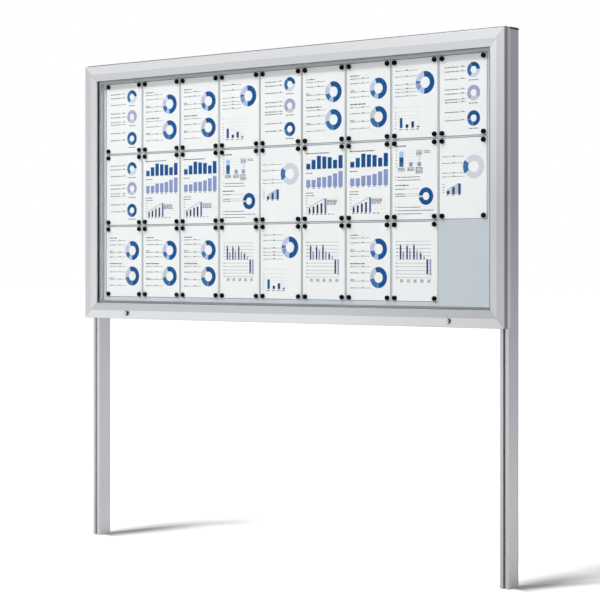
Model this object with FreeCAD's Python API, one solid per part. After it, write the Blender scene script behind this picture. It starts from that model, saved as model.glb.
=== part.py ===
import FreeCAD, Part
import math
import os

# Lockable notice board on two posts. All sizes are in millimetres.
# X runs along the board, Y runs back from the face, Z is up. The origin is on the ground,
# midway between the posts, on the line through the threads in the two post feet.
# Each frame member is drawn in its own section: u is measured inwards from the outside edge
# of the board, v is measured back from the front face, and w runs along the member.

os.makedirs("parts", exist_ok=True)
V = FreeCAD.Vector

# Paper the board is made for
sheet_w = 210.0
sheet_h = 297.0
sheet_gap = 5.0
sheet_t = 0.3
columns = 9
row_names = ("top_row", "middle_row", "bottom_row")
free_places = 1

# Space around the block of sheets, out to the door opening
side_margin = 31.0
top_margin = 14.0
bottom_margin = 27.0

# Height of the case above the ground
leg_height = 930.0

# Door frame section
door_face_w = 64.0
door_flat_w = 33.0
door_bevel_fall = 5.2
door_depth = 17.0
door_wall = 2.0
door_edge_r = 1.8
lip_edge_r = 1.2
lip_depth = 10.4
groove_depth = 12.0
back_lip_setback = 2.0

# Pane and its gasket
pane_t = 3.0
pane_inset = 54.0
gasket_leg = 1.0
gasket_play = 0.1
gasket_proud = 1.4

# Case section
door_gap = 2.0
case_body_depth = 21.0
case_wall = 2.5
case_thin_wall = 2.0
case_edge_r = 1.8
seal_show = 12.0
outer_flange_w = 12.0
inner_flange_w = 22.0
panel_groove_depth = 10.0
panel_lip = 4.0

# Back panel
panel_t = 3.0
panel_play = 0.2
panel_edge_play = 1.5

# Rubber seal between the case and the door
seal_base_t = 0.8
seal_edge_gap = 1.0
bead_w = 6.0
bead_play = 0.3

# Joints between members
mitre_gap = 0.2

# Magnets that hold the sheets
magnet_r = 9.0
magnet_t = 8.0
magnet_edge_r = 1.2
magnet_side_inset = 14.5
magnet_end_inset = 12.0

# Continuous hinge along the top
hinge_rise = 2.0
hinge_pin_r = 1.5
hinge_play = 0.05
knuckle_r = 3.5
knuckle_clear = 0.3
knuckle_pitch = 60.0
knuckle_end_play = 0.2
hinge_leaf_t = 0.9
hinge_leaf_w = 11.5
hinge_end_margin = 2.0
hinge_screw_u = 8.0
hinge_screw_r = 1.5
hinge_screw_depth = 3.6
hinge_screw_every = 4

# Cam locks in the bottom of the door
lock_inset = 245.0
lock_u = 23.5
lock_thread_r = 9.5
lock_head_r = 11.0
lock_head_t = 9.0
lock_head_edge_r = 1.5
lock_tail = 5.0
lock_nut_flats = 22.0
lock_nut_t = 1.7
plug_r = 7.0
plug_proud = 0.8
keyway_l = 9.0
keyway_w = 1.8
keyway_depth = 6.0
tang_w = 8.0
cam_t = 2.5
cam_w = 14.0
cam_clear = 0.4
cam_screw_r = 2.5
cam_screw_head_r = 6.0
cam_screw_head_t = 3.0
cam_screw_l = 8.0
cam_screw_tip_gap = 1.0
lock_play = 0.05

# Keepers that the cams turn behind
keeper_t = 2.0
keeper_w = 30.0
keeper_bite = 12.0
keeper_tip_play = 2.0
keeper_clear = 0.3
keeper_side_gap = 0.5
keeper_foot_w = 12.0
keeper_foot_over = 16.0

# Gas struts in the side channels
strut_u = 30.0
strut_case_drop = 45.0
strut_door_drop = 300.0
strut_back_gap = 3.0
tube_r = 7.5
tube_wall = 1.0
rod_show = 13.0
strut_stroke = 50.0
tube_start = 12.0
tube_end_t = 3.0
guide_t = 6.0
neck_r = 4.0
rod_r = 3.0
piston_t = 8.0
strut_play = 0.05
eye_r = 6.5
eye_w = 8.0
stud_r = 3.5
stud_over = 2.0
rod_neck_r = 4.5
rod_neck_l = 20.0
rod_socket_l = 10.0
bracket_t = 2.0
bracket_half_l = 26.0
bracket_plate_half_l = 12.0
bracket_gap = 3.5
bracket_foot_over = 2.0
open_pivot_play = 0.3

# Corner plates in the case, and corner keys in the door
corner_plate_t = 3.0
corner_plate_w = 18.0
corner_plate_l = 90.0
corner_plate_gap = 2.0
corner_key_u = 6.0
corner_key_w = 24.0
corner_key_l = 80.0
corner_key_play = 0.1

# Countersunk screws of the fittings
screw_r = 2.0
screw_head_r = 3.8
screw_play = 0.05
screw_end_inset = 8.0

# Posts
post_w = 38.0
post_d = 66.0
post_inset = 8.0
post_drop = 1.0
post_wall = 2.5
post_edge_r = 2.0
slot_w = 10.0
slot_lip = 3.0
slot_cavity_w = 20.0
slot_cavity_d = 9.0
flute_start = 27.0
flute_end_margin = 6.0
flute_depth = 0.6

# Post caps and feet
cap_t = 8.0
cap_over = 1.0
cap_corner_r = 3.0
cap_edge_r = 2.5
cap_plug_l = 12.0
plug_fit = 0.2
foot_l = 40.0
foot_thread_r = 5.1
foot_thread_l = 30.0

# Hammer-head bolts between the case and the posts
bolt_r = 4.0
bolt_play = 0.3
bolt_first = 90.0
bolt_pitch = 280.0
bolts_per_post = 3
bolt_head_w = 9.0
bolt_head_l = 18.0
bolt_head_t = 5.0
bolt_end = 2.0
washer_r = 8.0
washer_t = 1.6
nut_flats = 13.0
nut_t = 6.5

# How far a cutting shape runs past the face it cuts
slack = 1.0

# Overall sizes and levels that follow from the sizes above
rows = len(row_names)
block_w = columns * sheet_w + (columns - 1) * sheet_gap
block_h = rows * sheet_h + (rows - 1) * sheet_gap
opening_w = block_w + 2 * side_margin
opening_h = block_h + top_margin + bottom_margin
case_w = opening_w + 2 * door_face_w
case_h = opening_h + 2 * door_face_w
case_z0 = leg_height
case_z1 = case_z0 + case_h
case_depth = door_depth + door_gap + case_body_depth
front_y = -post_d / 2 - case_depth
post_x = case_w / 2 - post_inset - post_w / 2
post_h = case_z1 - post_drop

# Depths back from the front face
case_v = door_depth + door_gap
flange_back_v = case_v + case_wall
floor_v = case_depth - case_thin_wall
panel_v = floor_v - panel_t
groove_front_v = panel_v - panel_play
rib_v = groove_front_v - case_thin_wall
inner_u = door_face_w + seal_show
web_u = inner_u - panel_groove_depth
inner_flange_u = inner_u - inner_flange_w
hinge_v = door_depth + door_gap / 2
hinge_z = case_z1 + hinge_rise
groove_back_v = lip_depth + 2 * gasket_leg + pane_t
strut_v = floor_v - strut_back_gap - tube_r
strut_case_z = hinge_z - strut_case_drop
strut_door_z = hinge_z - strut_door_drop
strut_l = strut_door_drop - strut_case_drop
hinge_screw_head_r = hinge_screw_r + hinge_leaf_t
lock_x = case_w / 2 - lock_inset
keeper_leg_u = inner_flange_u - keeper_side_gap - keeper_t
cam_reach = keeper_leg_u - keeper_tip_play - lock_u


def box(x0, x1, y0, y1, z0, z1):
    """Block between two corners."""
    return Part.makeBox(x1 - x0, y1 - y0, z1 - z0, V(x0, y0, z0))


def rod(start, end, radius):
    """Round bar from one point to another."""
    run = end - start
    return Part.makeCylinder(radius, run.Length, start, run)


def turned(points, base, axis):
    """Solid of revolution: points are (radius, height) along the axis from the base."""
    profile = Part.makePolygon([V(r, 0, h) for r, h in points + points[:1]])
    solid = Part.Face(profile).revolve(V(0, 0, 0), V(0, 0, 1), 360)
    turn = FreeCAD.Rotation(V(0, 0, 1), axis)
    return solid.transformed(FreeCAD.Placement(base, turn).toMatrix())


def countersunk(base, axis, head_r, shank_r, length):
    """Countersunk screw with its flat head at the base, pointing along the axis."""
    cone = head_r - shank_r
    points = [(0, 0), (head_r, 0), (shank_r, cone), (shank_r, length), (0, length)]
    return turned(points, base, axis)


def hexagon(centre, axis, flats, thickness, bore):
    """Hexagon nut with a plain hole."""
    corner = flats / math.sqrt(3)
    turn = FreeCAD.Rotation(V(0, 0, 1), axis)
    ring = [V(corner * math.cos(math.radians(60 * i)), corner * math.sin(math.radians(60 * i)), 0)
            for i in range(7)]
    nut = Part.Face(Part.makePolygon(ring)).extrude(V(0, 0, thickness))
    nut = nut.cut(Part.makeCylinder(bore, thickness + 2 * slack, V(0, 0, -slack)))
    return nut.transformed(FreeCAD.Placement(centre, turn).toMatrix())


def at(side, u, v, w):
    """Point of a frame member's section, placed in the board."""
    y = front_y + v
    if side == "bottom":
        return V(-case_w / 2 + w, y, case_z0 + u)
    if side == "top":
        return V(-case_w / 2 + w, y, case_z1 - u)
    if side == "left":
        return V(-case_w / 2 + u, y, case_z0 + w)
    return V(case_w / 2 - u, y, case_z0 + w)


def run_of(side):
    """Outside length of a frame member."""
    return case_w if side in ("bottom", "top") else case_h


def outline(corners, place):
    """Plane wire through (u, v) corners, each placed in space. A third number rounds a corner."""
    points = [place(corner[0], corner[1]) for corner in corners]
    ends = []
    for i, corner in enumerate(corners):
        here = points[i]
        if len(corner) == 2:
            ends.append((here, here, None))
            continue
        radius = corner[2]
        to_before = (points[i - 1] - here).normalize()
        to_after = (points[(i + 1) % len(points)] - here).normalize()
        half = to_before.getAngle(to_after) / 2
        reach = radius / math.tan(half)
        middle = (to_before + to_after).normalize()
        crown = here + middle * (radius / math.sin(half) - radius)
        ends.append((here + to_before * reach, here + to_after * reach, crown))
    edges = []
    for i, (start, end, crown) in enumerate(ends):
        if crown is not None:
            edges.append(Part.Arc(start, crown, end).toShape())
        edges.append(Part.LineSegment(end, ends[(i + 1) % len(ends)][0]).toShape())
    return Part.Wire(edges)


def section_prism(side, corners):
    """Section drawn in u and v, pulled along the whole length of a member."""
    def place(u, v):
        return at(side, u, v, 0)
    return Part.Face(outline(corners, place)).extrude(place(0, 0) * -1 + at(side, 0, 0, run_of(side)))


def mitred(side, solid, reach):
    """Cut both ends of a member at 45 degrees, leaving half the mitre gap at each."""
    length = run_of(side)
    gap = mitre_gap / math.sqrt(2)
    ends = [(-slack, gap - slack), (reach, gap + reach),
            (reach, length - gap - reach), (-slack, length - gap + slack)]
    ring = [at(side, u, -slack, w) for u, w in ends]
    keep = Part.Face(Part.makePolygon(ring + ring[:1])).extrude(V(0, case_depth + 2 * slack, 0))
    return solid.common(keep)


def plate_at(v0, v1, u):
    """Flat plate over the board, inset from its edge."""
    return box(-case_w / 2 + u, case_w / 2 - u, front_y + v0, front_y + v1,
               case_z0 + u, case_z1 - u)


def ring(u_out, u_in, v0, v1):
    """Rectangular ring that runs round the board between two insets and two depths."""
    return plate_at(v0, v1, u_out).cut(plate_at(v0 - slack, v1 + slack, u_in))


def save(name, *shapes):
    """Write one node. Each shape given is a separate solid of it."""
    solids = [s for shape in shapes for s in shape.Solids]
    Part.makeCompound(solids).exportStep("parts/" + name + ".step")
    volume = sum(s.Volume for s in solids)
    good = all(s.isValid() for s in solids)
    print("%-28s %3d solids %12.1f mm3 %s" % (name, len(solids), volume, "" if good else "INVALID"))


back = V(0, 1, 0)
forth = V(0, -1, 0)
sides = ("bottom", "top", "left", "right")
hands = (("left", -1), ("right", 1))


# Back panel, sheets and magnets
panel = plate_at(panel_v, floor_v, web_u + panel_edge_play)
save("back_panel", panel)

block_x0 = -block_w / 2
block_z1 = case_z1 - door_face_w - top_margin
sheet_back_y = front_y + panel_v


def magnet(x, z):
    """Round magnet with a rounded rim, standing on a sheet."""
    rim = magnet_edge_r * (1 - math.sqrt(0.5))
    points = [(0, 0), (magnet_r, 0), (magnet_r, magnet_t - magnet_edge_r),
              (magnet_r - rim, magnet_t - rim), (magnet_r - magnet_edge_r, magnet_t), (0, magnet_t)]
    return turned(points, V(x, sheet_back_y - sheet_t, z), forth)


for row, name in enumerate(row_names):
    last = columns - free_places if row == rows - 1 else columns
    sheets = []
    magnets = []
    z1 = block_z1 - row * (sheet_h + sheet_gap)
    for column in range(last):
        x0 = block_x0 + column * (sheet_w + sheet_gap)
        sheets.append(box(x0, x0 + sheet_w, sheet_back_y - sheet_t, sheet_back_y, z1 - sheet_h, z1))
        for x in (x0 + magnet_side_inset, x0 + sheet_w - magnet_side_inset):
            for z in (z1 - magnet_end_inset, z1 - sheet_h + magnet_end_inset):
                magnets.append(magnet(x, z))
    save("sheets_" + name, *sheets)
    save("magnets_" + name, *magnets)


# Case: four mitred members of one open channel section
case_section = [
    (0, case_v), (outer_flange_w, case_v), (outer_flange_w, flange_back_v),
    (case_wall, flange_back_v), (case_wall, floor_v), (web_u - case_thin_wall, floor_v),
    (web_u - case_thin_wall, rib_v), (inner_u - case_thin_wall, rib_v),
    (inner_u - case_thin_wall, flange_back_v), (inner_flange_u, flange_back_v),
    (inner_flange_u, case_v), (inner_u, case_v), (inner_u, groove_front_v),
    (web_u, groove_front_v), (web_u, floor_v), (inner_u + panel_lip, floor_v),
    (inner_u + panel_lip, case_depth), (0, case_depth, case_edge_r)]
case_member = {side: mitred(side, section_prism(side, case_section), inner_u + panel_lip)
               for side in sides}

# Door: four mitred members of one hollow section, with a groove for the pane
bevel_slope = door_bevel_fall / (door_face_w - door_flat_w)
chamber_u = door_face_w - groove_depth - door_wall
chamber_v = door_wall + bevel_slope * (chamber_u - door_flat_w)
door_section = [
    (0, door_depth), (0, 0, door_edge_r), (door_flat_w, 0), (door_face_w, door_bevel_fall, lip_edge_r),
    (door_face_w, lip_depth), (door_face_w - groove_depth, lip_depth),
    (door_face_w - groove_depth, groove_back_v), (door_face_w - back_lip_setback, groove_back_v),
    (door_face_w - back_lip_setback, door_depth)]
chamber = [
    (door_wall, door_wall), (door_flat_w, door_wall), (chamber_u, chamber_v),
    (chamber_u, door_depth - door_wall), (door_wall, door_depth - door_wall)]
door_member = {}
for side in sides:
    hollow = section_prism(side, door_section).cut(section_prism(side, chamber))
    door_member[side] = mitred(side, hollow, door_face_w)


# Pane and gasket
pane_v = lip_depth + gasket_leg
save("pane", plate_at(pane_v, pane_v + pane_t, pane_inset))
gasket = ring(door_face_w - groove_depth + gasket_play, door_face_w + gasket_proud,
              lip_depth, groove_back_v)
gasket = gasket.cut(plate_at(pane_v, pane_v + pane_t, pane_inset))
save("pane_gasket", gasket)

# Seal on the case flange: a flat base with a bead that the door closes on
seal_base = ring(inner_flange_u + seal_edge_gap, inner_u, case_v - seal_base_t, case_v)
bead_u = inner_flange_u + seal_edge_gap
bead = ring(bead_u, bead_u + bead_w, door_depth + bead_play, case_v - seal_base_t)
save("case_seal", seal_base.fuse(bead).removeSplitter())


# Hinge along the top edge
hinge_y = front_y + hinge_v
hinge_x0 = -case_w / 2 + hinge_end_margin
hinge_x1 = case_w / 2 - hinge_end_margin
knuckles = max(3, int(round((hinge_x1 - hinge_x0) / knuckle_pitch)))
knuckle_l = (hinge_x1 - hinge_x0) / knuckles


def on_hinge(x0, x1, radius):
    """Round bar on the hinge axis."""
    return rod(V(x0, hinge_y, hinge_z), V(x1, hinge_y, hinge_z), radius)


relief = on_hinge(hinge_x0 - slack, hinge_x1 + slack, knuckle_r + knuckle_clear)
pin_bore = on_hinge(hinge_x0 - slack, hinge_x1 + slack, hinge_pin_r + hinge_play)
save("hinge_pin", on_hinge(hinge_x0, hinge_x1, hinge_pin_r))


def hinge_leaf(first, y0, y1):
    """Leaf with every second knuckle, cut away round the knuckles of the other leaf."""
    leaf = box(hinge_x0, hinge_x1, y0, y1, case_z1 - hinge_leaf_w, hinge_z)
    gap_z = hinge_z - knuckle_r - knuckle_clear
    half_gap = knuckle_end_play / 2
    barrels = []
    gaps = []
    for i in range(knuckles):
        a = hinge_x0 + i * knuckle_l
        b = a + knuckle_l
        if i % 2 == first:
            barrels.append(on_hinge(a + half_gap, b - half_gap, knuckle_r))
            gaps.append(box(a - slack, a + half_gap, y0, y1, gap_z, hinge_z))
            gaps.append(box(b - half_gap, b + slack, y0, y1, gap_z, hinge_z))
        else:
            gaps.append(box(a - slack, b + slack, y0, y1, gap_z, hinge_z))
    return leaf.cut(Part.makeCompound(gaps)).fuse(barrels).cut(pin_bore)


leaf_gap = door_gap / 2 - hinge_leaf_t
hinge_screw_z = case_z1 - hinge_screw_u
hinge_screw_xs = [hinge_x0 + (i + 0.5) * knuckle_l for i in range(1, knuckles, hinge_screw_every)]


def hinge_fastening(face_y, axis):
    """Screws of one leaf and the holes they need."""
    screws = [countersunk(V(x, face_y, hinge_screw_z), axis, hinge_screw_head_r,
                          hinge_screw_r, hinge_screw_depth) for x in hinge_screw_xs]
    holes = [countersunk(V(x, face_y, hinge_screw_z), axis, hinge_screw_head_r + screw_play,
                         hinge_screw_r + screw_play, hinge_screw_depth + slack)
             for x in hinge_screw_xs]
    return screws, Part.makeCompound(holes)


case_leaf = hinge_leaf(0, hinge_y + leaf_gap, hinge_y + leaf_gap + hinge_leaf_t)
screws, holes = hinge_fastening(hinge_y + leaf_gap, back)
save("case_hinge_leaf", case_leaf.cut(holes))
save("case_hinge_screws", *screws)
case_member["top"] = case_member["top"].cut(relief).cut(
    Part.makeCompound([rod(V(x, front_y + case_v - slack, hinge_screw_z),
                           V(x, front_y + flange_back_v + slack, hinge_screw_z),
                           hinge_screw_r + screw_play) for x in hinge_screw_xs]))

door_leaf = hinge_leaf(1, hinge_y - leaf_gap - hinge_leaf_t, hinge_y - leaf_gap)
screws, holes = hinge_fastening(hinge_y - leaf_gap, forth)
save("door_hinge_leaf", door_leaf.cut(holes))
save("door_hinge_screws", *screws)
door_member["top"] = door_member["top"].cut(relief).cut(
    Part.makeCompound([rod(V(x, front_y + door_depth + slack, hinge_screw_z),
                           V(x, front_y + door_depth - door_wall - slack, hinge_screw_z),
                           hinge_screw_r + screw_play) for x in hinge_screw_xs]))


# Locks
lock_z = case_z0 + lock_u
lock_back_v = door_depth + lock_tail
cam_v = flange_back_v + keeper_clear + cam_clear
fitting_screws = []
floor_holes = []


def floor_screw(x, z, plate_t):
    """Countersunk screw through a fitting and the floor of the case channel."""
    y = front_y + floor_v - plate_t
    length = plate_t + case_thin_wall
    fitting_screws.append(countersunk(V(x, y, z), back, screw_head_r, screw_r, length))
    floor_holes.append(rod(V(x, front_y + floor_v - slack, z),
                           V(x, front_y + case_depth + slack, z), screw_r + screw_play))
    return countersunk(V(x, y, z), back, screw_head_r + screw_play, screw_r + screw_play,
                       length + slack)


def on_lock(sign, v, across=0.0, up=0.0):
    """Point beside the axis of one lock."""
    return V(sign * lock_x + across, front_y + v, lock_z + up)


def beside_lock(sign, half_w, half_h, v0, v1):
    """Block centred on the axis of one lock."""
    x = sign * lock_x
    return box(x - half_w, x + half_w, front_y + v0, front_y + v1, lock_z - half_h, lock_z + half_h)


plug_face_v = -lock_head_t - plug_proud
screw_tip_v = cam_v + cam_t - cam_screw_l
for hand, sign in hands:
    x = sign * lock_x
    head = turned([(0, -lock_head_t), (lock_head_r - lock_head_edge_r, -lock_head_t),
                   (lock_head_r, -lock_head_t + lock_head_edge_r), (lock_head_r, 0), (0, 0)],
                  on_lock(sign, 0), back)
    barrel = rod(on_lock(sign, -slack), on_lock(sign, lock_back_v), lock_thread_r)
    bore = rod(on_lock(sign, plug_face_v), on_lock(sign, lock_back_v + slack), plug_r + lock_play)
    save(hand + "_lock_body", head.fuse(barrel).removeSplitter().cut(bore))
    door_member["bottom"] = door_member["bottom"].cut(
        rod(on_lock(sign, -slack), on_lock(sign, door_depth + slack), lock_thread_r + lock_play))

    plug = rod(on_lock(sign, plug_face_v), on_lock(sign, cam_v), plug_r)
    tang = beside_lock(sign, tang_w / 2, tang_w / 2, cam_v, cam_v + cam_t)
    keyway = beside_lock(sign, keyway_w / 2, keyway_l / 2, plug_face_v - slack,
                         plug_face_v + keyway_depth)
    screw_bore = rod(on_lock(sign, screw_tip_v - cam_screw_tip_gap),
                     on_lock(sign, cam_v + cam_t + slack), cam_screw_r + lock_play)
    save(hand + "_lock_plug", plug.fuse(tang).removeSplitter().cut(keyway).cut(screw_bore))

    # The cam points to the middle of the board while unlocked
    tip = -sign * (cam_reach - cam_w / 2)
    cam = rod(on_lock(sign, cam_v), on_lock(sign, cam_v + cam_t), cam_w / 2)
    cam = cam.fuse(rod(on_lock(sign, cam_v, tip), on_lock(sign, cam_v + cam_t, tip), cam_w / 2))
    cam = cam.fuse(box(min(x, x + tip), max(x, x + tip), front_y + cam_v, front_y + cam_v + cam_t,
                       lock_z - cam_w / 2, lock_z + cam_w / 2)).removeSplitter()
    seat = tang_w / 2 + lock_play
    save(hand + "_lock_cam", cam.cut(beside_lock(sign, seat, seat, cam_v - slack,
                                                 cam_v + cam_t + slack)))
    screw = turned([(0, 0), (cam_screw_r, 0), (cam_screw_r, cam_screw_l),
                    (cam_screw_head_r, cam_screw_l),
                    (cam_screw_head_r, cam_screw_l + cam_screw_head_t),
                    (0, cam_screw_l + cam_screw_head_t)], on_lock(sign, screw_tip_v), back)
    save(hand + "_cam_screw", screw)

    # Keeper: a lip over the cam, a leg, and a foot screwed to the channel floor
    lip_v = cam_v - keeper_clear - keeper_t
    leg_end_u = keeper_leg_u + keeper_t
    keeper_pieces = []
    for u0, v0, v1, half in (
            (lock_u + cam_reach - keeper_bite, lip_v, lip_v + keeper_t, keeper_w / 2),
            (keeper_leg_u, lip_v, floor_v, keeper_w / 2),
            (leg_end_u - keeper_foot_w, floor_v - keeper_t, floor_v, keeper_w / 2 + keeper_foot_over)):
        keeper_pieces.append(box(x - half, x + half, front_y + v0, front_y + v1,
                                 case_z0 + u0, case_z0 + leg_end_u))
    keeper = keeper_pieces[0].fuse(keeper_pieces[1:]).removeSplitter()
    for way in (-1, 1):
        screw_x = x + way * (keeper_w / 2 + keeper_foot_over / 2)
        screw_z = case_z0 + leg_end_u - keeper_foot_w / 2
        keeper = keeper.cut(floor_screw(screw_x, screw_z, keeper_t))
    save(hand + "_lock_keeper", keeper)

save("lock_nuts", *[hexagon(on_lock(sign, door_depth), back, lock_nut_flats, lock_nut_t,
                            lock_thread_r + lock_play) for hand, sign in hands])


# Gas struts
case_brackets = []
door_brackets = []
case_studs = []
door_screws = []
plate_u1 = strut_u - eye_w / 2 - bracket_gap
plate_u0 = plate_u1 - bracket_t
foot_u1 = strut_u + eye_w / 2 + bracket_foot_over


def side_x(sign, u):
    """Place measured in from one end of the case."""
    return sign * (case_w / 2 - u)


def across(sign, u0, u1, v0, v1, z0, z1):
    """Block in one side channel, measured in from the end of the case."""
    x0, x1 = sorted((side_x(sign, u0), side_x(sign, u1)))
    return box(x0, x1, front_y + v0, front_y + v1, z0, z1)


def strut_at(sign, drop, u=strut_u):
    """Point level with a strut, a drop below its upper pivot."""
    return V(side_x(sign, u), front_y + strut_v, strut_case_z - drop)


def cross_bar(sign, drop, u0, u1, radius):
    """Round bar across a strut."""
    return rod(strut_at(sign, drop, u0), strut_at(sign, drop, u1), radius)


def strut_bar(sign, drop0, drop1, radius):
    """Round bar along a strut."""
    return rod(strut_at(sign, drop0), strut_at(sign, drop1), radius)


def bracket_blocks(sign, foot_v, cheek_v, mid_z):
    """Foot and cheek of one strut bracket."""
    foot = across(sign, plate_u0, foot_u1, *foot_v, mid_z - bracket_half_l, mid_z + bracket_half_l)
    cheek = across(sign, plate_u0, plate_u1, *cheek_v,
                   mid_z - bracket_plate_half_l, mid_z + bracket_plate_half_l)
    return foot.fuse(cheek).removeSplitter()


neck_drop = strut_l - rod_neck_l
tube_end = neck_drop - rod_show
piston_drop = tube_end - guide_t - strut_stroke - piston_t
screw_offset = bracket_half_l - screw_end_inset
for hand, sign in hands:
    eye = cross_bar(sign, 0, strut_u - sign * eye_w / 2, strut_u + sign * eye_w / 2, eye_r)
    neck = strut_bar(sign, 0, tube_start + slack, neck_r)
    tube = turned([(0, tube_start), (tube_r, tube_start), (tube_r, tube_end),
                   (rod_r + strut_play, tube_end), (rod_r + strut_play, tube_end - guide_t),
                   (tube_r - tube_wall, tube_end - guide_t),
                   (tube_r - tube_wall, tube_start + tube_end_t), (0, tube_start + tube_end_t)],
                  strut_at(sign, 0), V(0, 0, -1))
    stud_hole = cross_bar(sign, 0, strut_u - eye_w, strut_u + eye_w, stud_r + strut_play)
    save(hand + "_strut_cylinder", eye.fuse([neck, tube]).removeSplitter().cut(stud_hole))

    piston = strut_bar(sign, piston_drop, piston_drop + piston_t, tube_r - tube_wall - strut_play)
    stem = strut_bar(sign, piston_drop, neck_drop + rod_socket_l, rod_r)
    save(hand + "_strut_rod", piston.fuse(stem).removeSplitter())

    end_eye = cross_bar(sign, strut_l, strut_u - eye_w / 2, strut_u + eye_w / 2, eye_r)
    end_neck = strut_bar(sign, neck_drop, strut_l, rod_neck_r)
    socket = strut_bar(sign, neck_drop - slack, neck_drop + rod_socket_l, rod_r + strut_play)
    side_stud = cross_bar(sign, strut_l, plate_u1 + open_pivot_play, strut_u, stud_r)
    save(hand + "_rod_end", end_eye.fuse([end_neck, side_stud]).removeSplitter().cut(socket))

    # Case bracket, on the channel floor, with a cheek that carries the stud
    bracket = bracket_blocks(sign, (floor_v - bracket_t, floor_v), (strut_v - eye_r, floor_v),
                             strut_case_z)
    bracket = bracket.cut(cross_bar(sign, 0, plate_u0 - slack, plate_u1 + slack, stud_r))
    foot_mid = side_x(sign, (plate_u1 + foot_u1) / 2)
    for z in (strut_case_z - screw_offset, strut_case_z + screw_offset):
        bracket = bracket.cut(floor_screw(foot_mid, z, bracket_t))
    case_brackets.append(bracket)
    case_studs.append(cross_bar(sign, 0, plate_u0, strut_u + eye_w / 2 + stud_over, stud_r))

    # Door bracket: the same shape turned over, on the back of the door stile
    bracket = bracket_blocks(sign, (door_depth, door_depth + bracket_t),
                             (door_depth, strut_v + eye_r), strut_door_z)
    bracket = bracket.cut(cross_bar(sign, strut_l, plate_u0 - slack, plate_u1 + slack,
                                    stud_r + strut_play))
    for z in (strut_door_z - screw_offset, strut_door_z + screw_offset):
        face = V(foot_mid, front_y + door_depth + bracket_t, z)
        length = bracket_t + door_wall
        door_screws.append(countersunk(face, forth, screw_head_r, screw_r, length))
        bracket = bracket.cut(countersunk(face, forth, screw_head_r + screw_play,
                                          screw_r + screw_play, length + slack))
        door_member[hand] = door_member[hand].cut(
            rod(V(foot_mid, front_y + door_depth + slack, z),
                V(foot_mid, front_y + door_depth - door_wall - slack, z), screw_r + screw_play))
    door_brackets.append(bracket)

save("case_strut_brackets", *case_brackets)
save("case_strut_studs", *case_studs)
save("door_strut_brackets", *door_brackets)
save("door_bracket_screws", *door_screws)


# Corner plates in the case and corner keys in the door
corners_of_board = [(x_way, z_way) for x_way in (-1, 1) for z_way in (-1, 1)]
middle_z = (case_z0 + case_z1) / 2


def in_corner(x_way, z_way, u, w, v=0.0):
    """Point near one corner, measured in from its two outside edges."""
    return V(x_way * (case_w / 2 - u), front_y + v, middle_z + z_way * (case_h / 2 - w))


def corner_piece(x_way, z_way, start, width, length, v0, v1):
    """L-shaped cleat for one corner, a given way in from both outside edges."""
    def arm(du, dw):
        a = in_corner(x_way, z_way, start, start, v0)
        b = in_corner(x_way, z_way, start + du, start + dw, v1)
        return box(min(a.x, b.x), max(a.x, b.x), a.y, b.y, min(a.z, b.z), max(a.z, b.z))
    return arm(length, width).fuse(arm(width, length)).removeSplitter()


plate_start = web_u - case_thin_wall - corner_plate_gap - corner_plate_w
near = plate_start + corner_plate_w / 2
far = plate_start + corner_plate_l - screw_end_inset
between = (near + far) / 2
corner_plates = []
corner_keys = []
for x_way, z_way in corners_of_board:
    plate = corner_piece(x_way, z_way, plate_start, corner_plate_w, corner_plate_l,
                         floor_v - corner_plate_t, floor_v)
    for u, w in ((near, far), (near, between), (far, near), (between, near)):
        place = in_corner(x_way, z_way, u, w)
        plate = plate.cut(floor_screw(place.x, place.z, corner_plate_t))
    corner_plates.append(plate)
    corner_keys.append(corner_piece(x_way, z_way, corner_key_u, corner_key_w, corner_key_l,
                                    door_wall + corner_key_play,
                                    door_depth - door_wall - corner_key_play))
save("case_corner_plates", *corner_plates)
save("door_corner_keys", *corner_keys)
save("case_fitting_screws", *fitting_screws)


# Posts, with a hammer-bolt slot in the front and a shallow flute down each side
front = -post_d / 2
rear = post_d / 2
cavity_y0 = front + slot_lip
cavity_y1 = cavity_y0 + slot_cavity_d
core_y0 = cavity_y1 + post_wall
core_y1 = rear - post_wall
core_half = post_w / 2 - post_wall


def post_blank():
    """Post section pulled up from the ground, centred on its own axis."""
    half = post_w / 2
    flute_y0 = front + flute_start
    flute_y1 = rear - flute_end_margin
    corners = [
        (-slot_w / 2, front), (-slot_w / 2, cavity_y0), (-slot_cavity_w / 2, cavity_y0),
        (-slot_cavity_w / 2, cavity_y1), (slot_cavity_w / 2, cavity_y1),
        (slot_cavity_w / 2, cavity_y0), (slot_w / 2, cavity_y0), (slot_w / 2, front),
        (half, front, post_edge_r), (half, flute_y0), (half - flute_depth, flute_y0),
        (half - flute_depth, flute_y1), (half, flute_y1), (half, rear, post_edge_r),
        (-half, rear, post_edge_r), (-half, flute_y1), (-half + flute_depth, flute_y1),
        (-half + flute_depth, flute_y0), (-half, flute_y0), (-half, front, post_edge_r)]
    body = Part.Face(outline(corners, V)).extrude(V(0, 0, post_h))
    core = box(-core_half, core_half, core_y0, core_y1, -slack, post_h + slack)
    return body.cut(core)


def cap_plate(x):
    """Flat top of one cap, with its upright corners and its upper edges rounded."""
    plate = box(x - post_w / 2 - cap_over, x + post_w / 2 + cap_over,
                cavity_y1, rear + cap_over, post_h, post_h + cap_t)
    uprights = [e for e in plate.Edges if e.Vertexes[0].Z != e.Vertexes[1].Z]
    plate = plate.makeFillet(cap_corner_r, uprights)
    rim = [e for e in plate.Edges if min(v.Z for v in e.Vertexes) > post_h]
    return plate.makeFillet(cap_edge_r, rim)


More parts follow.
